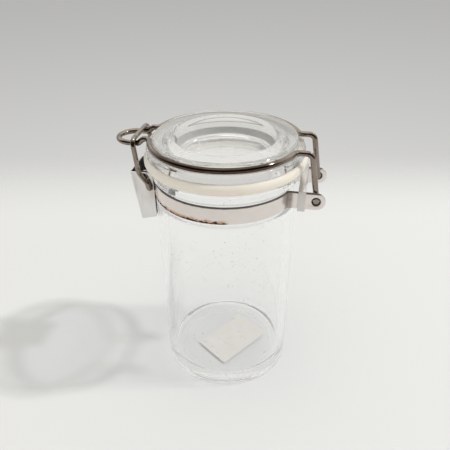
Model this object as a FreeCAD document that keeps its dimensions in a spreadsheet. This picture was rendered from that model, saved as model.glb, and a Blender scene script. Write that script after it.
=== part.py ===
import FreeCAD, Part
import math
import os

import Sketcher

# A small clip-top glass jar. Z is up, the origin is the centre of the base on the table, the latch
# is on the -Y side and the lid hinge on the +Y side. All lengths are millimetres, angles degrees.
SIZES = {
    # glass jar
    "body_radius": 26.0,
    "body_wall": 3.2,
    "base_thickness": 4.9,
    "rim_height": 91.2,
    "base_ring": 6.5,
    "recess_depth": 0.8,
    "heel_round": 1.8,
    "floor_round": 3.0,
    "neck_step": 0.6,
    "neck_bevel": 0.9,
    "bead_overhang": 1.5,
    "bead_height": 3.9,
    "rim_round": 1.3,
    # paper label under the base
    "label_length": 26.0,
    "label_width": 17.0,
    "label_thickness": 0.15,
    "label_turn": -36.0,
    "label_shift_back": 1.8,
    "label_shift_right": 2.4,
    # neck band and its two hinge ears
    "band_height": 6.3,
    "band_sheet": 0.7,
    "band_fit": 0.05,
    "band_play": 0.4,
    "ear_half_gap": 9.9,
    "ear_bend": 1.4,
    "hinge_flare": 0.7,
    "running_fit": 0.06,
    # bridge strap over the ears
    "bridge_standoff": 1.05,
    "bridge_width": 2.6,
    "bridge_sheet": 0.7,
    "bridge_lip": 1.3,
    # glass lid
    "flange_overhang": 1.3,
    "disc_round": 1.1,
    "flange_lip": 0.5,
    "flange_thickness": 3.0,
    "flange_edge": 2.1,
    "lid_rise": 5.8,
    "lid_rim_width": 7.45,
    "well_taper": 2.2,
    "well_depth": 6.8,
    "well_round": 1.6,
    "plug_clearance": 0.6,
    "plug_depth": 0.8,
    "plug_taper": 1.8,
    # sealing ring
    "seal_thickness": 4.2,
    "seal_width": 6.8,
    "seal_fit": 0.1,
    "seal_round": 1.8,
    # lid wire
    "wire_radius": 1.0,
    "wire_seat": 0.05,
    "leg_gap": 0.3,
    "leg_seal_gap": 0.6,
    "leg_lean": 2.7,
    "leg_bend": 2.2,
    "ring_bend": 2.0,
    "end_bend": 1.2,
    "end_recess": 0.15,
    "loop_side_gap": 0.8,
    "loop_overhang": 7.9,
    "loop_dip": 1.85,
    "dip_length": 2.0,
    "dip_bend": 1.6,
    # latch bracket on the band
    "bracket_sheet": 0.7,
    "bracket_side_gap": 0.6,
    "bracket_margin": 0.55,
    "lug_radius": 1.7,
    "lug_shoulder": 0.5,
    "pivot_standoff": 2.0,
    "pivot_drop": 0.6,
    "pin_radius": 0.9,
    # sheet-steel lever
    "lever_half_width": 7.4,
    "lever_sheet": 0.7,
    "lever_head": 1.4,
    "lever_length": 19.6,
    "lever_top_depth": 5.7,
    "lever_foot_depth": 2.9,
    "lever_foot_slope": 1.6,
    "lever_gap": 0.35,
    "lever_shoulder": 0.75,
    "lever_bend": 1.2,
    "arm_length": 5.07,
    "arm_angle": 22.0,
    # bail wire
    "bail_wire_radius": 0.9,
    "bail_seal_gap": 1.6,
    "bail_side_gap": 0.2,
    "bail_corner": 2.6,
    "bail_end": 0.3,
    "latch_slack": 0.15,
    "upper_knee_offset": 1.5,
    "upper_knee_rise": 2.0,
    "upper_knee_bend": 3.0,
    "lower_knee_offset": 0.5,
    "lower_knee_rise": 2.6,
    "lower_knee_bend": 1.8,
}

doc = FreeCAD.newDocument("clip_top_jar")
sheet = doc.addObject("Spreadsheet::Sheet", "sizes")
for row, (alias, number) in enumerate(SIZES.items(), start=1):
    sheet.set(f"A{row}", alias)
    sheet.set(f"B{row}", str(number))
    sheet.setAlias(f"B{row}", alias)
doc.recompute()


class Length:
    """A size that carries its spreadsheet formula beside its present value."""

    def __init__(self, formula, value):
        self.formula = formula
        self.value = value

    def __add__(self, other):
        other = as_length(other)
        return Length(f"({self.formula} + {other.formula})", self.value + other.value)

    def __sub__(self, other):
        other = as_length(other)
        return Length(f"({self.formula} - {other.formula})", self.value - other.value)

    def __mul__(self, other):
        other = as_length(other)
        return Length(f"({self.formula} * {other.formula})", self.value * other.value)

    def __neg__(self):
        return self * -1

    __rmul__ = __mul__


def as_length(item):
    return item if isinstance(item, Length) else Length(f"({float(item)})", float(item))


def root(length):
    return Length(f"sqrt({length.formula})", math.sqrt(length.value))


def sine(angle):
    return Length(f"sin({angle.formula})", math.sin(math.radians(angle.value)))


def cosine(angle):
    return Length(f"cos({angle.formula})", math.cos(math.radians(angle.value)))


class Dimensions:
    """The spreadsheet's cells by their aliases."""

    def __getattr__(self, alias):
        return Length(f"sizes.{alias}", float(sheet.get(alias)))


dim = Dimensions()
ZERO = as_length(0)
PASS = 1.0

# Heights, radii and reaches that several pieces share, each from the piece that carries it.
inner_radius = dim.body_radius - dim.body_wall
neck_radius = dim.body_radius - dim.neck_step
bead_radius = neck_radius + dim.bead_overhang
bead_bottom = dim.rim_height - dim.bead_height
band_top = bead_bottom - dim.neck_bevel - dim.band_play
band_bottom = band_top - dim.band_height
band_inner = neck_radius + dim.band_fit
band_outer = band_inner + dim.band_sheet
ear_outer = dim.ear_half_gap + dim.band_sheet
bridge_reach = band_outer + dim.bridge_standoff + 0.5 * dim.bridge_width
flange_bottom = dim.rim_height + dim.seal_thickness
seat_height = flange_bottom + dim.flange_thickness
lid_top = flange_bottom + dim.lid_rise
lid_bottom = dim.rim_height - dim.plug_depth
plug_radius = inner_radius - dim.plug_clearance
seal_inner = plug_radius + dim.seal_fit
seal_radius = seal_inner + dim.seal_width
flange_radius = bead_radius + dim.flange_overhang
wire_outer = flange_radius - dim.flange_lip
ring_radius = wire_outer - dim.wire_radius
disc_radius = ring_radius - dim.wire_radius - dim.wire_seat
ring_height = seat_height + dim.wire_seat + dim.wire_radius
loop_height = ring_height - dim.loop_dip
leg_top_reach = seal_radius + dim.leg_seal_gap + dim.wire_radius
hinge_reach = leg_top_reach + dim.leg_lean
hinge_height = band_bottom + 0.5 * dim.band_height
bracket_face = band_outer + dim.band_fit
pivot_reach = bracket_face + dim.bracket_sheet + dim.pivot_standoff
pivot_height = band_top - dim.pivot_drop
arm_reach = pivot_reach - dim.arm_length * sine(dim.arm_angle)
arm_height = pivot_height - dim.arm_length * cosine(dim.arm_angle)
flange_inside = dim.lever_half_width - dim.lever_sheet
bail_side = dim.lever_half_width + dim.bail_side_gap + dim.bail_wire_radius
bail_reach = seal_radius + dim.bail_seal_gap + dim.bail_wire_radius
bail_height = loop_height + dim.wire_radius + dim.bail_wire_radius + dim.latch_slack
loop_half_width = bail_side - dim.bail_wire_radius - dim.loop_side_gap - dim.wire_radius
loop_reach = bail_reach + dim.loop_overhang


def bind(item, name, length):
    item.setExpression(name, length.formula)


def place(item, x, y, z):
    for axis, length in (("x", x), ("y", y), ("z", z)):
        bind(item, f"Placement.Base.{axis}", length)


def box(name, x, y, z):
    """A block between the two ends given on each axis."""
    block = doc.addObject("Part::Box", name)
    for side, ends in (("Length", x), ("Width", y), ("Height", z)):
        bind(block, side, ends[1] - ends[0])
    place(block, x[0], y[0], z[0])
    return block


def upright_cylinder(name, radius, bottom, top):
    rod = doc.addObject("Part::Cylinder", name)
    bind(rod, "Radius", radius)
    bind(rod, "Height", top - bottom)
    place(rod, ZERO, ZERO, bottom)
    return rod


def cross_cylinder(name, radius, start, end, y, z):
    """A cylinder along X between two ends."""
    rod = doc.addObject("Part::Cylinder", name)
    bind(rod, "Radius", radius)
    bind(rod, "Height", end - start)
    rod.Placement.Rotation = FreeCAD.Rotation(FreeCAD.Vector(0, 1, 0), 90)
    place(rod, start, y, z)
    return rod


def cross_cone(name, start_radius, end_radius, start, end, y, z):
    """A cone along X between two ends."""
    cone = doc.addObject("Part::Cone", name)
    bind(cone, "Radius1", start_radius)
    bind(cone, "Radius2", end_radius)
    bind(cone, "Height", end - start)
    cone.Placement.Rotation = FreeCAD.Rotation(FreeCAD.Vector(0, 1, 0), 90)
    place(cone, start, y, z)
    return cone


def fuse(name, *pieces):
    joined = doc.addObject("Part::MultiFuse", name)
    joined.Shapes = list(pieces)
    joined.Refine = True
    return joined


def cut(name, base, *tools):
    tool = tools[0] if len(tools) == 1 else fuse(name + "_tools", *tools)
    rest = doc.addObject("Part::Cut", name)
    rest.Base = base
    rest.Tool = tool
    rest.Refine = True
    return rest


def common(name, *pieces):
    shared = doc.addObject("Part::MultiCommon", name)
    shared.Shapes = list(pieces)
    return shared


def mirrored(name, source):
    """The same piece on the other side of the plane X = 0."""
    twin = doc.addObject("Part::Mirroring", name)
    twin.Source = source
    twin.Normal = FreeCAD.Vector(1, 0, 0)
    return twin


def add_body(name):
    return doc.addObject("PartDesign::Body", name)


def sketch_on(body, name, role):
    plane = next(item for item in body.Origin.OriginFeatures if item.Role == role)
    sketch = body.newObject("Sketcher::SketchObject", name)
    sketch.AttachmentSupport = [(plane, "")]
    sketch.MapMode = "FlatFace"
    return sketch


def hold_point(sketch, kind, geometry, point, length):
    """Ties one coordinate of a sketch point to its formula, measured from the origin."""
    if length.value == 0:
        axis = -2 if kind == "DistanceX" else -1
        sketch.addConstraint(Sketcher.Constraint("PointOnObject", geometry, point, axis))
        return
    ends = (-1, 1, geometry, point) if length.value > 0 else (geometry, point, -1, 1)
    size = length if length.value > 0 else -length
    index = sketch.addConstraint(Sketcher.Constraint(kind, *ends, size.value))
    bind(sketch, f"Constraints[{index}]", size)


def outline(body, name, role, points):
    """A closed polygon whose corners follow their formulas."""
    sketch = sketch_on(body, name, role)
    corners = [FreeCAD.Vector(across.value, up.value, 0) for across, up in points]
    count = len(corners)
    for index in range(count):
        sketch.addGeometry(Part.LineSegment(corners[index], corners[(index + 1) % count]))
    for index, (across, up) in enumerate(points):
        sketch.addConstraint(Sketcher.Constraint("Coincident", index, 2, (index + 1) % count, 1))
        hold_point(sketch, "DistanceX", index, 1, across)
        hold_point(sketch, "DistanceY", index, 1, up)
    return sketch


def circles(body, name, role, rounds):
    """Separate circles, each with its centre and radius tied to formulas."""
    sketch = sketch_on(body, name, role)
    for index, (across, up, radius) in enumerate(rounds):
        centre = FreeCAD.Vector(across.value, up.value, 0)
        sketch.addGeometry(Part.Circle(centre, FreeCAD.Vector(0, 0, 1), radius.value))
        hold_point(sketch, "DistanceX", index, 3, across)
        hold_point(sketch, "DistanceY", index, 3, up)
        held = sketch.addConstraint(Sketcher.Constraint("Radius", index, radius.value))
        bind(sketch, f"Constraints[{held}]", radius)
    return sketch


def turned(body, name, points):
    """Turns a half section, given as radius and height, about the jar's axis."""
    profile = outline(body, name + "_section", "XZ_Plane", points)
    solid = body.newObject("PartDesign::Revolution", name + "_turned")
    solid.Profile = profile
    solid.ReferenceAxis = (profile, ["V_Axis"])
    solid.Angle = 360.0
    body.Tip = solid
    doc.recompute()
    return solid


def round_edges(body, name, radius, chosen):
    """Rounds the edges of the body's last feature that the test picks."""
    base = body.Tip
    names = [f"Edge{number}" for number, edge in enumerate(base.Shape.Edges, start=1) if chosen(edge)]
    rounding = body.newObject("PartDesign::Fillet", name)
    rounding.Base = (base, names)
    bind(rounding, "Radius", radius)
    body.Tip = rounding
    doc.recompute()


def near(first, second):
    return abs(first - second) < 1e-4


def ring_edge(radius, height):
    """Tests for the circle of that radius at that height."""

    def chosen(edge):
        curve = edge.Curve
        if not isinstance(curve, Part.Circle):
            return False
        return near(curve.Radius, radius.value) and near(curve.Center.z, height.value)

    return chosen


def rounded_run(points, bends):
    """Straight runs through the points, with a tangent arc at each inner point."""
    edges = []
    start = points[0]
    for before, corner, after, bend in zip(points, points[1:], points[2:], bends):
        back = (before - corner).normalize()
        ahead = (after - corner).normalize()
        half = back.getAngle(ahead) / 2
        reach = bend / math.tan(half)
        centre = corner + (back + ahead).normalize() * (bend / math.sin(half))
        entry = corner + back * reach
        leave = corner + ahead * reach
        middle = centre + (corner - centre).normalize() * bend
        edges.append(Part.makeLine(start, entry))
        edges.append(Part.Arc(entry, middle, leave).toShape())
        start = leave
    edges.append(Part.makeLine(start, points[-1]))
    return edges


def wire_half(name, edges, radius):
    """One half of a bent wire, swept along its centre line."""
    path = Part.Wire(edges)
    first = edges[0]
    direction = first.tangentAt(first.FirstParameter)
    section = Part.Wire(Part.Circle(first.firstVertex().Point, direction, radius).toShape())
    swept = path.makePipeShell([section], True, False)
    expected = math.pi * radius**2 * path.Length
    if abs(swept.Volume - expected) > 0.01 * expected:
        raise ValueError(f"{name}: volume {swept.Volume:.2f}, expected {expected:.2f}")
    half = doc.addObject("Part::Feature", name)
    half.Shape = swept
    half.Placement = FreeCAD.Placement()
    return half


# Glass jar: a heavy base with a shallow recess under it, a straight wall, a groove for the band and
# a rounded bead that carries the seal.
recess_radius = dim.body_radius - dim.base_ring
jar = add_body("jar_body")
turned(jar, "jar", [
    (ZERO, dim.recess_depth),
    (recess_radius, dim.recess_depth),
    (recess_radius, ZERO),
    (dim.body_radius, ZERO),
    (dim.body_radius, band_bottom - 2 * dim.neck_bevel),
    (neck_radius, band_bottom - dim.neck_bevel),
    (neck_radius, bead_bottom - dim.neck_bevel),
    (bead_radius, bead_bottom),
    (bead_radius, dim.rim_height),
    (inner_radius, dim.rim_height),
    (inner_radius, dim.base_thickness),
    (ZERO, dim.base_thickness),
])
round_edges(jar, "jar_heel", dim.heel_round, ring_edge(dim.body_radius, ZERO))
round_edges(jar, "jar_floor", dim.floor_round, ring_edge(inner_radius, dim.base_thickness))
round_edges(jar, "jar_rim_outside", dim.rim_round, ring_edge(bead_radius, dim.rim_height))
round_edges(jar, "jar_rim_inside", 0.5 * dim.rim_round, ring_edge(inner_radius, dim.rim_height))
round_edges(jar, "jar_recess", 0.5 * dim.recess_depth, ring_edge(recess_radius, ZERO))

# Paper label: a blank rectangle stuck in the recess under the base.
label = doc.addObject("Part::Box", "base_label")
bind(label, "Length", dim.label_length)
bind(label, "Width", dim.label_width)
bind(label, "Height", dim.label_thickness)
label.Placement.Rotation = FreeCAD.Rotation(FreeCAD.Vector(0, 0, 1), 0)
bind(label, "Placement.Rotation.Angle", dim.label_turn)
half_length = 0.5 * dim.label_length
half_width = 0.5 * dim.label_width
place(
    label,
    half_width * sine(dim.label_turn) - half_length * cosine(dim.label_turn) - dim.label_shift_back,
    dim.label_shift_right - half_length * sine(dim.label_turn) - half_width * cosine(dim.label_turn),
    dim.recess_depth - dim.label_thickness,
)

# Neck band: a sprung steel strip round the neck, whose ends turn out as two ears with flared holes.
band_span = (band_bottom, band_top)
ear_root = root(band_inner * band_inner - dim.ear_half_gap * dim.ear_half_gap)
hinge_hole = dim.wire_radius + dim.running_fit
flare_depth = 0.5 * dim.band_sheet
ring = cut(
    "band_ring",
    upright_cylinder("band_outside", band_outer, *band_span),
    upright_cylinder("band_inside", band_inner, *band_span),
    box("band_gap", (-dim.ear_half_gap, dim.ear_half_gap), (ZERO, hinge_reach), band_span),
)
ear_strip = box("ear_strip", (dim.ear_half_gap, ear_outer), (ear_root, hinge_reach), band_span)
ear_tip = cross_cylinder(
    "ear_tip", 0.5 * dim.band_height, dim.ear_half_gap, ear_outer, hinge_reach, hinge_height
)
ear_hole = cross_cylinder(
    "ear_hole", hinge_hole, dim.ear_half_gap - PASS, ear_outer + PASS, hinge_reach, hinge_height
)
ear_flare = cross_cone(
    "ear_flare", hinge_hole, hinge_hole + dim.hinge_flare, ear_outer - flare_depth, ear_outer,
    hinge_reach, hinge_height,
)
ear = cut("ear", fuse("ear_blank", ear_strip, ear_tip), ear_hole, ear_flare)
sharp_band = fuse("sharp_band", ring, ear, mirrored("other_ear", ear))
doc.recompute()


def ear_corner(edge):
    """Tests for the upright edge where an ear leaves the ring."""
    middle = edge.CenterOfMass
    upright = near(edge.BoundBox.ZLength, dim.band_height.value) and edge.BoundBox.XLength < 1e-4
    on_face = near(abs(middle.x), ear_outer.value)
    return upright and on_face and middle.y < bridge_reach.value


band = doc.addObject("Part::Fillet", "neck_band")
band.Base = sharp_band
band.Edges = [
    (number, dim.ear_bend.value, dim.ear_bend.value)
    for number, edge in enumerate(sharp_band.Shape.Edges, start=1)
    if ear_corner(edge)
]

# Hinge bridge: a strip folded over both ears, which keeps them from spreading.
bridge_outer = ear_outer + dim.bridge_sheet
bridge_top = band_top + dim.bridge_sheet
bridge_foot = band_bottom - dim.bridge_sheet
lip_end = bridge_outer - dim.bridge_lip - dim.bridge_sheet
right_side = [
    (bridge_outer, bridge_top),
    (bridge_outer, bridge_foot),
    (lip_end, bridge_foot),
    (lip_end, band_bottom),
    (ear_outer, band_bottom),
    (ear_outer, band_top),
]
bridge = add_body("hinge_bridge")
strip = outline(
    bridge, "bridge_section", "XZ_Plane",
    right_side + [(-across, up) for across, up in reversed(right_side)],
)
bind(strip, "AttachmentOffset.Base.z", -(bridge_reach + 0.5 * dim.bridge_width))
folded = bridge.newObject("PartDesign::Pad", "bridge_pad")
folded.Profile = strip
bind(folded, "Length", dim.bridge_width)
bridge.Tip = folded

# Glass lid: a thick disc with a sunk well, a flange for the wire and the seal, and a shallow plug.
well_radius = disc_radius - dim.lid_rim_width
well_floor_radius = well_radius - dim.well_taper
well_floor = lid_top - dim.well_depth
lid = add_body("glass_lid")
turned(lid, "lid", [
    (ZERO, lid_bottom),
    (plug_radius - dim.plug_taper, lid_bottom),
    (plug_radius, lid_bottom + dim.plug_taper),
    (plug_radius, flange_bottom),
    (flange_radius, flange_bottom),
    (flange_radius, flange_bottom + dim.flange_edge),
    (wire_outer, seat_height),
    (disc_radius, seat_height),
    (disc_radius, lid_top),
    (well_radius, lid_top),
    (well_floor_radius, well_floor),
    (ZERO, well_floor),
])
round_edges(lid, "lid_disc", dim.disc_round, ring_edge(disc_radius, lid_top))
round_edges(lid, "lid_well_rim", dim.well_round, ring_edge(well_radius, lid_top))
round_edges(lid, "lid_well_floor", dim.well_round, ring_edge(well_floor_radius, well_floor))

# Sealing ring: a soft thick ring stretched over the lid's plug, bulging out past the rim.
seal = add_body("sealing_ring")
turned(seal, "seal", [
    (seal_inner, dim.rim_height),
    (seal_radius, dim.rim_height),
    (seal_radius, flange_bottom),
    (seal_inner, flange_bottom),
])
round_edges(seal, "seal_foot", dim.seal_round, ring_edge(seal_radius, dim.rim_height))
round_edges(seal, "seal_top", dim.seal_round, ring_edge(seal_radius, flange_bottom))

# Lid wire: one bent wire. From its front loop it dips up to the lid, runs round the disc on the
# flange, leaves it at the back, turns down and ends in the ears' holes.
leg_side = dim.ear_half_gap - dim.leg_gap - dim.wire_radius


def ring_meeting(side, direction):
    """Where a run along Y at that side meets the lid ring through a bend of its own."""
    bend = dim.ring_bend.value
    centre_x = side.value + bend
    reach = ring_radius.value + bend
    centre = FreeCAD.Vector(centre_x, direction * math.sqrt(reach**2 - centre_x**2), ring_height.value)
    on_axis = FreeCAD.Vector(0, 0, ring_height.value)
    on_ring = on_axis + (centre - on_axis).normalize() * ring_radius.value
    on_run = FreeCAD.Vector(side.value, centre.y, ring_height.value)
    halfway = (on_ring - centre).normalize() + (on_run - centre).normalize()
    middle = centre + halfway.normalize() * bend
    return on_run, middle, on_ring


def lid_wire_edges():
    side = loop_half_width.value
    low = loop_height.value
    high = ring_height.value
    tip = FreeCAD.Vector(0, -loop_reach.value, low)
    turn = FreeCAD.Vector(0, side - loop_reach.value, low)
    diagonal = FreeCAD.Vector(1, -1, 0).normalize()
    loop_side = turn + FreeCAD.Vector(side, 0, 0)
    front_run, front_middle, front_ring = ring_meeting(loop_half_width, -1)
    rear_run, rear_middle, rear_ring = ring_meeting(leg_side, 1)
    dip_start = front_run.y - dim.dip_bend.value / 2
    dip_end = dip_start - dim.dip_length.value
    hinge = FreeCAD.Vector(leg_side.value, hinge_reach.value, hinge_height.value)
    edges = [Part.Arc(tip, turn + diagonal * side, loop_side).toShape()]
    edges += rounded_run(
        [loop_side, FreeCAD.Vector(side, dip_end, low), FreeCAD.Vector(side, dip_start, high), front_run],
        [dim.dip_bend.value] * 2,
    )
    edges.append(Part.Arc(front_run, front_middle, front_ring).toShape())
    edges.append(Part.Arc(front_ring, FreeCAD.Vector(ring_radius.value, 0, high), rear_ring).toShape())
    edges.append(Part.Arc(rear_ring, rear_middle, rear_run).toShape())
    edges += rounded_run(
        [
            rear_run,
            FreeCAD.Vector(leg_side.value, leg_top_reach.value, high),
            hinge,
            FreeCAD.Vector(ear_outer.value - dim.end_recess.value, hinge.y, hinge.z),
        ],
        [dim.leg_bend.value, dim.end_bend.value],
    )
    return edges


near_half = wire_half("lid_wire_half", lid_wire_edges(), dim.wire_radius.value)
lid_wire = fuse("lid_wire", near_half, mirrored("lid_wire_other_half", near_half))

# Latch bracket: a strip on the front of the band with two lugs that hold the lever's pin.
bracket_half_width = flange_inside - dim.bracket_side_gap
bracket_span = (band_bottom + dim.bracket_margin, band_top - dim.bracket_margin)
bracket_side = (-bracket_half_width, bracket_half_width)
plate = common(
    "bracket_plate",
    cut(
        "bracket_ring",
        upright_cylinder("bracket_outside", bracket_face + dim.bracket_sheet, *bracket_span),
        upright_cylinder("bracket_inside", bracket_face, *bracket_span),
    ),
    box("bracket_front", bracket_side, (-pivot_reach, -0.5 * neck_radius), bracket_span),
)
lug_side = (bracket_half_width - dim.bracket_sheet, bracket_half_width)
lug_root = root(bracket_face * bracket_face - lug_side[0] * lug_side[0])
lug = cut(
    "bracket_lug",
    fuse(
        "lug_blank",
        box(
            "lug_strip", lug_side, (-pivot_reach, -lug_root),
            (pivot_height - dim.lug_radius, pivot_height + dim.lug_shoulder),
        ),
        cross_cylinder("lug_end", dim.lug_radius, *lug_side, -pivot_reach, pivot_height),
    ),
    cross_cylinder(
        "lug_hole", dim.pin_radius + dim.running_fit, lug_side[0] - PASS, lug_side[1] + PASS,
        -pivot_reach, pivot_height,
    ),
)
bracket = fuse("latch_bracket", plate, lug, mirrored("other_lug", lug))

# Lever pin: a plain pin through both lugs, riveted flush with the lever's sides.
cross_cylinder(
    "lever_pin", dim.pin_radius, -dim.lever_half_width, dim.lever_half_width, -pivot_reach, pivot_height
)

# Lever: a pressed steel channel, open towards the jar and at its top, closed at its foot.
lever_top_reach = pivot_reach + dim.lever_top_depth
lever_foot_reach = pivot_reach + dim.lever_foot_depth
lever_inner = root(band_outer * band_outer - flange_inside * flange_inside) + dim.lever_gap
lever_top = pivot_height + dim.lever_head
lever_foot = lever_top - dim.lever_length
lever = add_body("lever")
side_view = outline(lever, "lever_side", "YZ_Plane", [
    (-lever_inner - dim.lever_shoulder, lever_top),
    (-lever_top_reach, lever_top),
    (-lever_foot_reach, lever_foot),
    (-lever_inner, lever_foot + dim.lever_foot_slope),
    (-lever_inner, pivot_height),
])
blank = lever.newObject("PartDesign::Pad", "lever_blank")
blank.Profile = side_view
blank.SideType = "Symmetric"
bind(blank, "Length", 2 * dim.lever_half_width)
lever.Tip = blank
doc.recompute()


def lever_edge(edge):
    """Tests for the two long outer bends of the channel."""
    bounds = edge.BoundBox
    at_side = near(abs(edge.CenterOfMass.x), dim.lever_half_width.value) and bounds.XLength < 1e-4
    at_front = near(bounds.YMin, -lever_top_reach.value)
    return at_side and at_front and bounds.ZLength > dim.lever_length.value / 2


round_edges(lever, "lever_bends", dim.lever_bend, lever_edge)
hollow_view = outline(lever, "lever_hollow_side", "YZ_Plane", [
    (-lever_inner + PASS, lever_top + PASS),
    (-lever_top_reach + dim.lever_sheet, lever_top + PASS),
    (-lever_top_reach + dim.lever_sheet, lever_top),
    (-lever_foot_reach + dim.lever_sheet, lever_foot + dim.lever_sheet),
    (-lever_inner + PASS, lever_foot + dim.lever_foot_slope + dim.lever_sheet),
])
hollow = lever.newObject("PartDesign::Pocket", "lever_hollow")
hollow.Profile = hollow_view
hollow.SideType = "Symmetric"
bind(hollow, "Length", 2 * flange_inside)
lever.Tip = hollow
doc.recompute()
foot_view = circles(lever, "lever_foot_plan", "XY_Plane", [(ZERO, ZERO, band_outer + dim.lever_gap)])
foot_cut = lever.newObject("PartDesign::Pocket", "lever_foot_cut")
foot_cut.Profile = foot_view
foot_cut.SideType = "Symmetric"
bind(foot_cut, "Length", 2 * dim.rim_height)
lever.Tip = foot_cut
doc.recompute()
hole_view = circles(lever, "lever_hole_side", "YZ_Plane", [
    (-pivot_reach, pivot_height, dim.pin_radius + dim.running_fit),
    (-arm_reach, arm_height, dim.bail_wire_radius + dim.running_fit),
])
holes = lever.newObject("PartDesign::Pocket", "lever_holes")
holes.Profile = hole_view
holes.SideType = "Symmetric"
bind(holes, "Length", 2 * dim.lever_half_width + PASS)
lever.Tip = holes

# Bail wire: hooks over the lid wire's loop. Its legs pass the lever's sides and bend in below the
# pin, and their ends turn inwards into the lever.
upper_knee_reach = pivot_reach + dim.upper_knee_offset


def bail_edges():
    side = bail_side.value
    lower_reach = arm_reach.value + dim.lower_knee_offset.value
    points = [
        FreeCAD.Vector(0, -bail_reach.value, bail_height.value),
        FreeCAD.Vector(side, -bail_reach.value, bail_height.value),
        FreeCAD.Vector(side, -upper_knee_reach.value, (pivot_height + dim.upper_knee_rise).value),
        FreeCAD.Vector(side, -lower_reach, (arm_height + dim.lower_knee_rise).value),
        FreeCAD.Vector(side, -arm_reach.value, arm_height.value),
        FreeCAD.Vector((flange_inside - dim.bail_end).value, -arm_reach.value, arm_height.value),
    ]
    bends = [dim.bail_corner, dim.upper_knee_bend, dim.lower_knee_bend, dim.end_bend]
    return rounded_run(points, [bend.value for bend in bends])


bail_half = wire_half("bail_half", bail_edges(), dim.bail_wire_radius.value)
bail_wire = fuse("bail_wire", bail_half, mirrored("bail_other_half", bail_half))

doc.recompute()

NODES = [
    "jar_body", "base_label", "neck_band", "hinge_bridge", "glass_lid", "sealing_ring", "lid_wire",
    "latch_bracket", "lever_pin", "lever", "bail_wire",
]
for item in doc.Objects:
    if "Invalid" in item.State or "Error" in item.State:
        raise ValueError(f"{item.Label} failed: {item.State}")
for node in NODES:
    shape = doc.getObjectsByLabel(node)[0].Shape
    if shape.isNull() or not shape.isValid() or len(shape.Solids) != 1:
        raise ValueError(f"{node} is not one valid solid")
    print(f"{node}: {shape.Volume:.1f} mm3, box {shape.BoundBox}")

os.makedirs("parts", exist_ok=True)
for node in NODES:
    doc.getObjectsByLabel(node)[0].Shape.exportStep(f"parts/{node}.step")
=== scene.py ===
import math

import bpy
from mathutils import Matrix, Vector


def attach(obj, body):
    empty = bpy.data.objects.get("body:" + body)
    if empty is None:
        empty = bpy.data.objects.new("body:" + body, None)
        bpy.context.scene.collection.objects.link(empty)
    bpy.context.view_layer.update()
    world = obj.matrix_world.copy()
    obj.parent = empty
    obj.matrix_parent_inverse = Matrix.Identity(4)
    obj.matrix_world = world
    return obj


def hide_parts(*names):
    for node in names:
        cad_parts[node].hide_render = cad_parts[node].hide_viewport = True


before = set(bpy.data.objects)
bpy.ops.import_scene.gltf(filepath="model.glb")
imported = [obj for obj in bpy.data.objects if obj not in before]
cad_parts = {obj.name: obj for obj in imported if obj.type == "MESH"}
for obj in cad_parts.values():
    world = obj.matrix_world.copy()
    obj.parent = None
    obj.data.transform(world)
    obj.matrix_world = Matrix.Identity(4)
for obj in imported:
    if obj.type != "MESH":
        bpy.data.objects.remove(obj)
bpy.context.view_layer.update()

# Glass jar: one pressed and blown piece of clear glass with a heavy base, a shallow recess under it,
# a groove for the clip's band and a rounded bead that carries the seal.
mm = 0.001


class Value:
    """A shader value: arithmetic on it adds Math nodes to its finish."""

    def __init__(self, finish, socket):
        self.finish = finish
        self.socket = socket

    def maths(self, operation, first, second=0.0):
        node = self.finish.add("ShaderNodeMath", {"operation": operation}, {0: first, 1: second})
        return Value(self.finish, node.outputs[0])

    def __add__(self, other):
        return self.maths("ADD", self, other)

    def __sub__(self, other):
        return self.maths("SUBTRACT", self, other)

    def __rsub__(self, other):
        return self.maths("SUBTRACT", other, self)

    def __mul__(self, other):
        return self.maths("MULTIPLY", self, other)

    def __pow__(self, other):
        return self.maths("POWER", self, other)

    __radd__ = __add__
    __rmul__ = __mul__

    def above(self, edge):
        return self.maths("GREATER_THAN", self, edge)


class Nodes:
    """A node tree whose nodes are added by type, with their settings and what feeds them."""

    def __init__(self, tree, coordinates):
        self.tree = tree
        self.place = self.add("ShaderNodeTexCoord").outputs[coordinates]
        parts = self.add("ShaderNodeSeparateXYZ", {}, {0: self.place})
        self.x, self.y, self.z = (Value(self, socket) for socket in parts.outputs)

    def add(self, kind, settings=None, sockets=None):
        node = self.tree.nodes.new(kind)
        for name, setting in (settings or {}).items():
            if name == "stops":
                ramp = node.color_ramp.elements
                while len(ramp) < len(setting):
                    ramp.new(0.5)
                for stop, (position, tone) in zip(ramp, setting):
                    stop.position = position
                    stop.color = (*tone, 1.0)
            else:
                setattr(node, name, setting)
        for name, source in (sockets or {}).items():
            self.feed(node.inputs[name], source)
        return node

    def feed(self, socket, source):
        if isinstance(source, Value):
            source = source.socket
        if isinstance(source, bpy.types.NodeSocket):
            self.tree.links.new(source, socket)
        else:
            socket.default_value = source

    def ramp(self, source, stops):
        return self.add("ShaderNodeValToRGB", {"stops": stops}, {0: source}).outputs["Color"]

    def mask(self, source, low, high):
        """Nought below low, one above high and smooth between."""
        span = self.add(
            "ShaderNodeMapRange", {"interpolation_type": "SMOOTHSTEP"},
            {"Value": source, "From Min": low, "From Max": high},
        )
        return Value(self, span.outputs[0])

    def blend(self, share, first, second):
        """A colour between two colours."""
        node = self.add("ShaderNodeMix", {"data_type": "RGBA"}, {0: share, 6: first, 7: second})
        return node.outputs[2]

    def either(self, share, first, second):
        """A shader between two shaders."""
        return self.add("ShaderNodeMixShader", {}, {0: share, 1: first, 2: second}).outputs[0]


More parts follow.
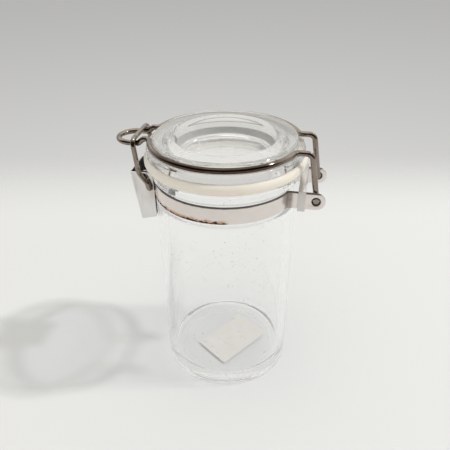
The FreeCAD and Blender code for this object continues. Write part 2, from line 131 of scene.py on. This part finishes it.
class Finish(Nodes):
    """A material of one principled shader, on a piece's own coordinates."""

    def __init__(self, name):
        self.material = bpy.data.materials.new(name)
        self.material.use_nodes = True
        super().__init__(self.material.node_tree, "Object")
        self.shader = self.tree.nodes["Principled BSDF"]
        self.surface = self.tree.nodes["Material Output"].inputs["Surface"]

    def noise(self, scale, detail=2.0, stretch=(1, 1, 1)):
        """Noise over the piece, finer along an axis that is stretched."""
        mapped = self.add("ShaderNodeMapping", {}, {0: self.place, 3: stretch})
        grain = self.add(
            "ShaderNodeTexNoise", {}, {"Vector": mapped.outputs[0], "Scale": scale, "Detail": detail}
        )
        return Value(self, grain.outputs["Fac"])

    def bump(self, height, depth, strength=1.0):
        node = self.add("ShaderNodeBump", {}, {"Height": height, "Distance": depth, "Strength": strength})
        self.feed(self.shader.inputs["Normal"], node.outputs[0])

    def set(self, **sockets):
        for name, source in sockets.items():
            self.feed(self.shader.inputs[name.replace("_", " ")], source)
        return self


def begin(name, start):
    """Starts a piece as one point, ready to be drawn on in edit mode."""
    bpy.ops.object.select_all(action="DESELECT")
    bpy.ops.mesh.primitive_plane_add(size=mm)
    piece = bpy.context.object
    piece.name = name
    piece.data.name = name
    bpy.ops.object.mode_set(mode="EDIT")
    bpy.ops.mesh.select_all(action="SELECT")
    bpy.ops.mesh.merge(type="CENTER")
    bpy.ops.transform.translate(value=start)
    return piece


def draw(points):
    """Extrudes the last point on through the others."""
    for before, after in zip(points, points[1:]):
        bpy.ops.mesh.extrude_region_move(TRANSFORM_OT_translate={"value": after - before})


def pick(piece, test):
    """Selects the points that pass the test, in edit mode."""
    bpy.ops.mesh.select_all(action="DESELECT")
    bpy.ops.object.mode_set(mode="OBJECT")
    for point in piece.data.vertices:
        point.select = test(point.co)
    bpy.ops.object.mode_set(mode="EDIT")
    bpy.ops.mesh.select_mode(type="VERT")


def round_corner(piece, corner, reach, steps=6):
    """Rounds a drawn line at one corner, starting that far from it on both sides."""
    pick(piece, lambda place: (place - corner).length < 0.01 * mm)
    bpy.ops.mesh.bevel(offset=reach, segments=steps, affect="VERTICES", offset_type="OFFSET")


def supported(corners, reaches):
    """The corners with a firm point just past each rounding, so that long runs shade straight."""
    line = [corners[0]]
    for index in range(len(corners) - 1):
        start, end = corners[index], corners[index + 1]
        run = end - start
        for share in (reaches.get(index, 0) + 0.2 * mm, run.length - reaches.get(index + 1, 0) - 0.2 * mm):
            if 0.1 * mm < share < run.length - 0.1 * mm and run.length > 0.8 * mm:
                line.append(start + run.normalized() * share)
        line.append(end)
    return line


def lathe(name, section, roundings, steps=144):
    """Turns a half section, in millimetres of radius and height, about the upright axis."""
    corners = [Vector((radius, 0, height)) * mm for radius, height in section]
    reaches = {index: reach * mm for index, reach in roundings.items()}
    piece = begin(name, corners[0])
    draw(supported(corners, reaches))
    for index, reach in reaches.items():
        round_corner(piece, corners[index], reach)
    bpy.ops.mesh.select_all(action="SELECT")
    bpy.ops.mesh.spin(steps=steps, angle=2 * math.pi, center=(0, 0, 0), axis=(0, 0, 1))
    bpy.ops.mesh.select_all(action="SELECT")
    bpy.ops.mesh.remove_doubles(threshold=0.002 * mm)
    bpy.ops.mesh.normals_make_consistent(inside=False)
    bpy.ops.object.mode_set(mode="OBJECT")
    bpy.ops.object.shade_smooth_by_angle(angle=math.radians(35))
    return piece


def dress(piece, finish, slot, body, *nodes):
    """Gives a piece its finish and its body, and hides the solids that it stands for; its slot is not used.
    """
    piece.data.materials.clear()
    piece.data.materials.append(finish.material)
    if nodes:
        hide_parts(*nodes)
    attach(piece, body)


def clear_glass(name, tint, seeds, ripple, shadow):
    """Clear pressed glass with a slow ripple, and seeds and dust as tiny darker specks."""
    glass = Finish(name)
    slow = glass.noise(60, 1.0)
    glass.bump(slow, ripple * mm)
    cells = glass.add("ShaderNodeTexVoronoi", {}, {"Vector": glass.place, "Scale": 520.0})
    spot = Value(glass, cells.outputs["Distance"])
    rare = glass.noise(130, 0.0).above(1 - seeds)
    speck = (1 - glass.mask(spot, 0.10, 0.16)) * rare
    colour = glass.blend(speck * 0.7, (*tint, 1), (0.42, 0.40, 0.37, 1))
    glass.set(Base_Color=colour, Roughness=0.004 + speck * 0.3)
    glass.shader.inputs["Transmission Weight"].default_value = 1.0
    glass.shader.inputs["IOR"].default_value = 1.5
    ray = glass.add("ShaderNodeLightPath")
    graze = glass.add("ShaderNodeLayerWeight", {}, {"Blend": 0.35})
    shade = (shadow + Value(glass, graze.outputs["Facing"]) * 0.3) * glass.mask(glass.z, 5 * mm, 8 * mm)
    open_glass = glass.add("ShaderNodeBsdfTransparent", {}, {"Color": (0.99, 0.99, 0.99, 1)}).outputs[0]
    shaded_glass = glass.add("ShaderNodeBsdfTransparent", {}, {"Color": (0.72, 0.73, 0.75, 1)}).outputs[0]
    thin = glass.either(shade, open_glass, shaded_glass)
    lighting = Value(glass, ray.outputs["Is Shadow Ray"])
    passing = lighting.maths("MAXIMUM", lighting, Value(glass, ray.outputs["Is Diffuse Ray"]))
    spent = Value(glass, ray.outputs["Ray Depth"]).above(14)
    passing = passing.maths("MAXIMUM", passing, spent)
    glass.feed(glass.surface, glass.either(passing, glass.shader.outputs[0], thin))
    return glass


jar_section = [
    (0, 0.8), (19.5, 0.8), (19.5, 0), (26, 0), (26, 77.9), (25.4, 78.8), (25.4, 86.4),
    (26.9, 87.3), (26.9, 91.2), (22.8, 91.2), (22.8, 4.9), (0, 4.9),
]
jar = lathe("jar", jar_section, {2: 0.4, 3: 1.8, 4: 0.45, 5: 0.45, 7: 0.5, 8: 1.3, 9: 0.65, 10: 3.0})
jar_glass = clear_glass("jar_glass", tint=(0.994, 0.996, 0.995), seeds=0.45, ripple=0.05, shadow=0.25)
dress(jar, jar_glass, "clear_glass", "jar", "jar_body")

# Paper label: a blank pale rectangle of matte paper. It is stuck in the recess under the base, so it
# shows through the glass.
label_length = 26 * mm
label_width = 17 * mm
label_sheet = 0.11 * mm
label_corner = 0.5 * mm
label_turn = math.radians(-36)
label_place = Vector((-1.8, 2.4, 0.65)) * mm
bpy.ops.object.select_all(action="DESELECT")
bpy.ops.mesh.primitive_plane_add(size=1, location=(0, 0, 0))
label = bpy.context.object
label.name = "label"
bpy.ops.object.mode_set(mode="EDIT")
bpy.ops.transform.resize(value=(label_length, label_width, 1))
bpy.ops.mesh.bevel(offset=label_corner, segments=3, affect="VERTICES")
bpy.ops.mesh.select_all(action="SELECT")
bpy.ops.mesh.extrude_region_move(TRANSFORM_OT_translate={"value": (0, 0, label_sheet)})
bpy.ops.mesh.select_all(action="SELECT")
bpy.ops.mesh.normals_make_consistent(inside=False)
bpy.ops.object.mode_set(mode="OBJECT")
label.rotation_euler = (0, 0, label_turn)
label.location = label_place
bpy.ops.object.transform_apply(location=True, rotation=True, scale=True)
paper = Finish("label_paper")
fibre = paper.noise(900, 4.0, (1, 0.35, 1))
blotch = paper.noise(130, 2.0)
shade = paper.blend(fibre * 0.5 + blotch * 0.4, (0.77, 0.73, 0.66, 1), (0.96, 0.935, 0.88, 1))
paper.set(Base_Color=shade, Roughness=0.82 + fibre * 0.1)
paper.bump(fibre, 0.05 * mm, 0.5)
dress(label, paper, "label_paper", "jar", "base_label")

# Neck band: a sprung strip of bright stainless steel round the neck, its ends turned out as two
# ears. Its lower front edge has rusted a little. Its cut top edge carries a dark line of painted shade,
# its bends into the ears a painted dark reflection and its hinge holes rings of painted shade; its
# inside is painted near white as painted light.


def eased(node, name, width):
    """A pressed piece with the shape of its plain solid and slightly rounded edges."""
    bpy.ops.object.select_all(action="DESELECT")
    piece = bpy.data.objects.new(name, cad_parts[node].data.copy())
    piece.data.name = name
    bpy.context.scene.collection.objects.link(piece)
    piece.select_set(True)
    bpy.context.view_layer.objects.active = piece
    bpy.ops.object.mode_set(mode="EDIT")
    bpy.ops.mesh.select_all(action="SELECT")
    bpy.ops.mesh.remove_doubles(threshold=0.002 * mm)
    bpy.ops.mesh.dissolve_limited(angle_limit=math.radians(0.5))
    bpy.ops.object.mode_set(mode="OBJECT")
    edges = piece.modifiers.new("edges", "BEVEL")
    edges.width = width * mm
    edges.segments = 3
    edges.limit_method = "ANGLE"
    edges.angle_limit = math.radians(40)
    bpy.ops.object.modifier_apply(modifier=edges.name)
    bpy.ops.object.shade_smooth_by_angle(angle=math.radians(40))
    return piece


class Steel(Finish):
    """Bright stainless sheet with fine rolling lines, duller finger-worn patches and small scratches."""

    def __init__(self, name, tone, rough, streak):
        super().__init__(name)
        lines = self.noise(260, 3.0, streak)
        patches = self.noise(120, 3.0)
        wear = self.noise(1500, 2.0)
        dark = tuple(0.74 * part for part in tone)
        self.colour = self.blend(lines * 0.6 + patches * 0.35, (*dark, 1), (*tone, 1))
        self.roughness = rough + patches * 0.16 + wear * 0.05
        self.metal = 1.0
        self.bump(lines, 0.01 * mm, 0.35)

    def stain_and_shade(self, share, tone, rough):
        """Covers a share of the steel with a duller colour; used for real rust and specks and for painted
        shade and reflections.
        """
        self.colour = self.blend(share, self.colour, tone)
        self.roughness = self.roughness + share * rough
        self.metal = self.metal - share * 0.8

    def done(self):
        return self.set(Base_Color=self.colour, Roughness=self.roughness, Metallic=self.metal)


hinge_back = 33.4
hinge_height = 82.85
strip_inside = 25.5
band = eased("neck_band", "band", 0.12)
band_steel = Steel("band_steel", (0.88, 0.82, 0.775), 0.13, (1, 1, 14))
# Painted shade: a near-black line along the band's cut top edge, for the shaded gap under the glass bead.
edge_gap_shade = band_steel.mask(band_steel.z + band_steel.noise(500) * (0.3 * mm), 85.60 * mm, 85.78 * mm)
band_steel.stain_and_shade(edge_gap_shade * 0.9, (0.05, 0.035, 0.03, 1), 0.3)
front = band_steel.mask(band_steel.x, 3 * mm, 10 * mm) * (1 - band_steel.mask(band_steel.y, 4 * mm, 6 * mm))
patches = band_steel.noise(300, 2.0)
above_edge = band_steel.z + band_steel.noise(420, 3.0) * (1.6 * mm)
halo = (1 - band_steel.mask(above_edge, 80.9 * mm, 82.4 * mm)) * front
band_steel.stain_and_shade(halo * 0.85, (0.52, 0.24, 0.08, 1), 0.25)
specks = 1 - band_steel.mask(band_steel.z + band_steel.noise(800, 3.0) * (4 * mm), 82.38 * mm, 82.46 * mm)
band_steel.stain_and_shade(specks * front, (0.018, 0.008, 0.004, 1), 0.3)
# Painted reflection: a dark brown band where the strip bends out into each ear, for the dark the bend
# mirrors.
into_bend = band_steel.mask(band_steel.y, 22.4 * mm, 23.6 * mm)
past_bend = band_steel.mask(band_steel.y, 24.6 * mm, 26 * mm)
band_steel.stain_and_shade(into_bend * (1 - past_bend) * (0.35 + patches * 0.6), (0.11, 0.07, 0.05, 1), 0.2)
# Painted light: the band's inside is painted near white, to brighten the shaded gap between band and glass.
radius = (band_steel.x * band_steel.x + band_steel.y * band_steel.y) ** 0.5
inside = 1 - band_steel.mask(radius, strip_inside * mm, (strip_inside + 0.2) * mm)
band_steel.colour = band_steel.blend(inside * 0.9, band_steel.colour, (0.985, 0.98, 0.97, 1))
# Painted shade: a near-black ring round each hinge hole, for the shade in the gap round the wire's end.
back = band_steel.y - hinge_back * mm
high = band_steel.z - hinge_height * mm
from_hinge = (back * back + high * high) ** 0.5
band_steel.stain_and_shade(1 - band_steel.mask(from_hinge, 1.5 * mm, 1.75 * mm), (0.012, 0.010, 0.009, 1), 0.15)
dress(band, band_steel.done(), "sheet_steel", "jar", "neck_band")

# Hinge bridge: a narrow steel strip, cut and bent from sheet. It is folded over both ears so that they
# can't spread.
bridge = eased("hinge_bridge", "bridge", 0.12)
strap_steel = Steel("strap_steel", (0.74, 0.71, 0.68), 0.2, (1, 14, 1)).done()
dress(bridge, strap_steel, "sheet_steel", "jar", "hinge_bridge")

# Latch bracket and pin: a steel strip on the front of the band with two lugs bent out of it, and the
# drawn steel pin through them that the lever turns on.
bracket = eased("latch_bracket", "bracket", 0.1)
dress(bracket, strap_steel, "sheet_steel", "jar", "latch_bracket")
drawn = Finish("wire_steel")
along = drawn.noise(160, 3.0)
fine = drawn.noise(2200, 2.0)
tarnish = drawn.mask(drawn.noise(340, 3.0), 0.60, 0.72)
tone = drawn.blend(along, (0.15, 0.118, 0.095, 1), (0.38, 0.325, 0.28, 1))
tone = drawn.blend(tarnish * 0.7, tone, (0.07, 0.05, 0.035, 1))
# The lid wire's front run on the flange is made darker brown.
front_run = drawn.mask(drawn.x, 12 * mm, 22 * mm) * drawn.mask(drawn.z, 98 * mm, 98.4 * mm)
tone = drawn.blend(front_run * (0.55 + along * 0.6), tone, (0.050, 0.030, 0.019, 1))
drawn.set(Base_Color=tone, Roughness=0.05 + fine * 0.07 + tarnish * 0.2, Metallic=1.0)
drawn.bump(fine, 0.01 * mm, 0.25)
pin = eased("lever_pin", "pin", 0.2)
dress(pin, drawn, "wire_steel", "jar", "lever_pin")

# Sealing ring: a thick moulded ring of cream silicone, stretched over the lid's plug. The clip presses
# it between the lid and the jar's bead, so that it bulges.
seal_inside, seal_outside = 22.3, 29.1
seal_foot, seal_top = 91.22, 95.38
seal_round = 1.8
seal_section = [
    (seal_inside, seal_foot), (seal_outside, seal_foot), (seal_outside, seal_top), (seal_inside, seal_top),
    (seal_inside, seal_foot),
]
seal = lathe("seal", seal_section, {1: seal_round, 2: seal_round})
soft = Finish("cream_silicone")
cloud = soft.noise(110, 2.0)
pores = soft.noise(1800, 2.0)
cream = soft.blend(cloud, (0.82, 0.76, 0.655, 1), (0.90, 0.845, 0.75, 1))
# Painted light: the seal is painted paler towards its inner side, to brighten the part left in shade under
# the lid.
across = (soft.x * soft.x + soft.y * soft.y) ** 0.5
cream = soft.blend(soft.mask(across, 24.0 * mm, 27.5 * mm), (0.97, 0.945, 0.88, 1), cream)
soft.set(Base_Color=cream, Roughness=0.42 + pores * 0.16)
soft.shader.inputs["Subsurface Weight"].default_value = 0.35
soft.shader.inputs["Subsurface Radius"].default_value = (1.0, 0.9, 0.6)
soft.shader.inputs["Subsurface Scale"].default_value = 2 * mm
soft.bump(pores, 0.02 * mm, 0.3)
glow = soft.add("ShaderNodeBsdfTransparent", {}, {"Color": (0.95, 0.945, 0.93, 1)})
shadow_ray = soft.add("ShaderNodeLightPath").outputs["Is Shadow Ray"]
soft.feed(soft.surface, soft.either(shadow_ray, soft.shader.outputs[0], glow.outputs[0]))
dress(seal, soft, "cream_silicone", "lid", "sealing_ring")

# Glass lid: a pressed disc with a sunk well in its top, a flange that the wire and the seal lie on,
# and a shallow plug that goes into the jar's mouth.
lid_section = [
    (0, 90.4), (20.4, 90.4), (22.2, 92.2), (22.2, 95.4), (28.2, 95.4), (28.2, 97.5), (27.7, 98.4),
    (25.65, 98.4), (25.65, 101.2), (18.2, 101.2), (16.0, 94.4), (0, 94.4),
]
lid = lathe("lid", lid_section, {1: 0.6, 2: 0.6, 4: 0.25, 5: 0.25, 6: 0.25, 7: 0.3, 8: 1.1, 9: 1.4, 10: 1.4})
lid_glass = clear_glass("lid_glass", tint=(0.992, 0.982, 0.960), seeds=0.38, ripple=0.06, shadow=0.8)
dress(lid, lid_glass, "lid_glass", "lid", "glass_lid")

# Lid wire: one drawn steel wire. From its front loop it steps up to the lid, runs round the disc on
# the flange, leaves it at the back, turns down and ends in the ears' holes.


def wire(name, points, bends, radius):
    """Bends a wire through points in millimetres and gives it its thickness."""
    line = [Vector(point) * mm for point in points]
    reaches = {}
    for index, bend in bends.items():
        back = (line[index - 1] - line[index]).normalized()
        ahead = (line[index + 1] - line[index]).normalized()
        reaches[index] = bend * mm / math.tan(back.angle(ahead) / 2)
    piece = begin(name, line[0])
    draw(supported(line, reaches))
    for index, reach in reaches.items():
        round_corner(piece, line[index], reach, 8)
    bpy.ops.object.mode_set(mode="OBJECT")
    bpy.ops.object.convert(target="CURVE")
    piece.data.bevel_depth = radius * mm
    piece.data.bevel_resolution = 6
    piece.data.use_fill_caps = True
    bpy.ops.object.convert(target="MESH")
    bpy.ops.object.mode_set(mode="EDIT")
    bpy.ops.mesh.select_all(action="SELECT")
    bpy.ops.mesh.remove_doubles(threshold=0.002 * mm)
    bpy.ops.mesh.normals_make_consistent(inside=False)
    bpy.ops.object.mode_set(mode="OBJECT")
    bpy.ops.object.shade_smooth_by_angle(angle=math.radians(50))
    return bpy.context.object


def arc(centre, radius, height, start, end, steps):
    """Points on a level arc, with angles in degrees from +X."""
    turns = [math.radians(start + (end - start) * step / steps) for step in range(steps + 1)]
    x, y = centre
    return [(x + radius * math.cos(turn), y + radius * math.sin(turn), height) for turn in turns]


ring_radius = 26.7
ring_height = 99.45
ring_bend = 2.0
loop_height = 97.6
loop_side = 5.8
loop_turn = -33.7
leg_side = 8.6
leg_end = 10.45
leg_top = 30.7
wire_radius = 1.0
reach = ring_radius + ring_bend
front_centre = (loop_side + ring_bend, -math.sqrt(reach**2 - (loop_side + ring_bend) ** 2))
rear_centre = (leg_side + ring_bend, math.sqrt(reach**2 - (leg_side + ring_bend) ** 2))
front_angle = math.degrees(math.atan2(front_centre[1], front_centre[0]))
rear_angle = math.degrees(math.atan2(rear_centre[1], rear_centre[0]))
dip_start = front_centre[1] - 0.8
half = [
    (leg_end, hinge_back, hinge_height), (leg_side, hinge_back, hinge_height),
    (leg_side, leg_top, ring_height),
]
half += arc(rear_centre, ring_bend, ring_height, 180, 180 + rear_angle, 8)
half += arc((0, 0), ring_radius, ring_height, rear_angle, front_angle, 60)[1:]
half += arc(front_centre, ring_bend, ring_height, 180 + front_angle, 180, 8)[1:]
half += [(loop_side, dip_start, ring_height), (loop_side, dip_start - 2, loop_height)]
dip = len(half) - 1
half += arc((0, loop_turn), loop_side, loop_height, 0, -90, 16)
path = half + [(-x, y, z) for x, y, z in reversed(half[:-1])]
last = len(path) - 1
bends = {1: 1.2, 2: 2.2, dip - 1: 1.6, dip: 1.6}
bends.update({last - index: bend for index, bend in bends.items()})
lid_wire = wire("lid_clip_wire", path, bends, wire_radius)
dress(lid_wire, drawn, "wire_steel", "lid", "lid_wire")

# Lever: a channel pressed from bright steel sheet, open towards the jar and at its top. Its outside carries
# painted warm reflections and shading, and its inside is painted near black and dull as painted shade.
lever = eased("lever", "lever_channel", 0.2)
lever_steel = Steel("lever_steel", (0.87, 0.85, 0.83), 0.14, (14, 1, 1))
# Painted reflection: warm brown patches on the lever's outside, for the band's reflections and shading in
# it.
painted_reflections = lever_steel.mask(lever_steel.noise(190, 3.0, (1, 1, 0.35)), 0.46, 0.66)
lever_steel.colour = lever_steel.blend(painted_reflections * 0.65, lever_steel.colour, (0.56, 0.475, 0.425, 1))
# Painted shade: the inside of the channel is painted near black and dull, for the shade inside it.
across = lever_steel.x.maths("ABSOLUTE", lever_steel.x)
front_lean = 0.1429
foot_lean = 0.258
behind_front = (lever_steel.y + front_lean * lever_steel.z + 21.8 * mm).above(0)
over_foot = (lever_steel.z - foot_lean * lever_steel.y - 75.75 * mm).above(0)
between_sides = 1 - across.above(6.75 * mm)
inside = between_sides * behind_front * over_foot
lever_steel.stain_and_shade(inside, (0.035, 0.034, 0.032, 1), 0.3)
dress(lever, lever_steel.done(), "lever_steel", "lever", "lever")

# Bail wire: one bent steel wire that hooks over the lid wire's loop. Its legs pass the lever's sides and
# their ends turn inwards into the lever.
bail_side = 8.5
bail_radius = 0.9
pivot_front, pivot_height = -27.0007, 80.6992
bail_half = [
    (6.4, pivot_front, pivot_height), (bail_side, pivot_front, pivot_height), (bail_side, -27.5007, 83.2992),
    (bail_side, -30.4, 87.4), (bail_side, -31.6, 99.65),
]
bail_path = bail_half + [(-x, y, z) for x, y, z in reversed(bail_half)]
last = len(bail_path) - 1
bends = {1: 1.2, 2: 1.8, 3: 3.0, 4: 2.6}
bends.update({last - index: bend for index, bend in bends.items()})
bail = wire("bail", bail_path, bends, bail_radius)
dress(bail, drawn, "wire_steel", "bail", "bail_wire")

# Floor: a plain pale table top, dull and slightly warm. It fades into the background a little way
# behind the jar.
floor_size = 2.4
floor_drop = 0.2 * mm
fade_start, fade_end = 0.105, 0.215
bpy.ops.object.select_all(action="DESELECT")
bpy.ops.mesh.primitive_plane_add(size=floor_size, location=(0, 0, -floor_drop))
floor = bpy.context.object
floor.name = "floor"
table = Finish("pale_table")
table.set(Base_Color=(0.80, 0.80, 0.785, 1), Roughness=0.75)
table.shader.inputs["Specular IOR Level"].default_value = 0.2
behind = table.x * -0.980 + table.y * -0.197
clear = table.add("ShaderNodeBsdfTransparent").outputs[0]
fade = table.mask(behind, fade_start, fade_end)
table.feed(table.surface, table.either(fade, table.shader.outputs[0], clear))
floor.data.materials.append(table.material)

# Light: a soft lamp on the right, a wide weak one overhead and a pale room, whose near side is dark
# above the table. Mirror-like surfaces see that side, which gives the wires their dark lines.
world = bpy.context.scene.world or bpy.data.worlds.new("room")
bpy.context.scene.world = world
world.use_nodes = True
world.node_tree.nodes.clear()
room = Nodes(world.node_tree, "Generated")
rise = room.z * 0.5 + 0.5
low_wall = [(0.0, 0.82), (0.20, 0.81), (0.27, 0.68), (0.44, 0.47)]
far_wall = low_wall + [(0.50, 0.60), (0.6935, 0.63), (0.6965, 0.68), (1.0, 0.68)]
pale_wall = low_wall[:3] + [(0.36, 0.60), (0.44, 0.58), (0.6935, 0.63), (0.6965, 0.68), (1.0, 0.68)]
far_ceiling = low_wall + [(0.6935, 0.55), (0.6965, 1.0), (1.0, 1.0)]
near_wall = [(0.0, 0.66), (0.28, 0.62), (0.38, 0.35), (0.44, 0.03), (0.88, 0.02), (0.97, 0.6), (1.0, 0.7)]


def wall(tones):
    """Greys from straight down to straight up."""
    return room.ramp(rise, [(place, (grey, grey * 0.995, grey * 0.97)) for place, grey in tones])


def lit(colour, strength=1.0):
    return room.add("ShaderNodeBackground", {}, {"Color": colour, "Strength": strength}).outputs[0]


ray = room.add("ShaderNodeLightPath").outputs
near_side = room.mask(room.x, -0.15, 0.20)
mirrored = lit(room.blend(near_side, wall(far_ceiling), wall(near_wall)), 1.3)
camera_ray = Value(room, ray["Is Camera Ray"])
seen = camera_ray.maths("MAXIMUM", camera_ray, Value(room, ray["Is Transmission Ray"]))
through_glass = room.blend(ray["Is Transmission Ray"], wall(far_wall), wall(pale_wall))
view = room.either(seen, lit((1.0, 0.995, 0.98, 1), 0.66), lit(through_glass))
mirror_ray = Value(room, ray["Is Glossy Ray"]) * (1 - Value(room, ray["Is Transmission Ray"]))
sky = room.either(mirror_ray, view, mirrored)
room.add("ShaderNodeOutputWorld", {}, {"Surface": sky})


def soft_lamp(name, place, size, power):
    """A square lamp that faces the jar's middle."""
    bpy.ops.object.light_add(type="AREA", location=place)
    lamp = bpy.context.object
    lamp.name = name
    lamp.data.size = size
    lamp.data.energy = power
    lamp.rotation_euler = (Vector((0, 0, 0.05)) - Vector(place)).to_track_quat("-Z", "Y").to_euler()


soft_lamp("key_lamp", place=(-0.38, 1.90, 2.40), size=0.16, power=37.0)
soft_lamp("top_lamp", place=(0.25, -0.10, 1.6), size=1.2, power=2.5)

# Camera: where the photograph was taken from, above the jar and to one side of its clip, with a
# slight roll.
sensor = 36.0
focal_px = 483.5
frame_px = 450.0
eye = Vector((157.3, 31.2, 164.2)) * mm
forward = Vector((-0.830, -0.167, -0.533))
roll = math.radians(0.45)
camera_data = bpy.data.cameras.new("camera")
camera = bpy.data.objects.new("camera", camera_data)
bpy.context.scene.collection.objects.link(camera)
camera_data.sensor_width = sensor
camera_data.lens = sensor * focal_px / frame_px
camera_data.clip_start = 0.01
camera.location = eye
facing = forward.to_track_quat("-Z", "Y").to_matrix().to_4x4()
camera.rotation_euler = facing.to_euler()
camera.rotation_euler.rotate_axis("Z", -roll)
bpy.context.scene.camera = camera

bpy.context.scene.view_settings.view_transform = "Standard"
cycles = bpy.context.scene.cycles
cycles.max_bounces = 40
cycles.transmission_bounces = 40
cycles.glossy_bounces = 20
cycles.transparent_max_bounces = 40
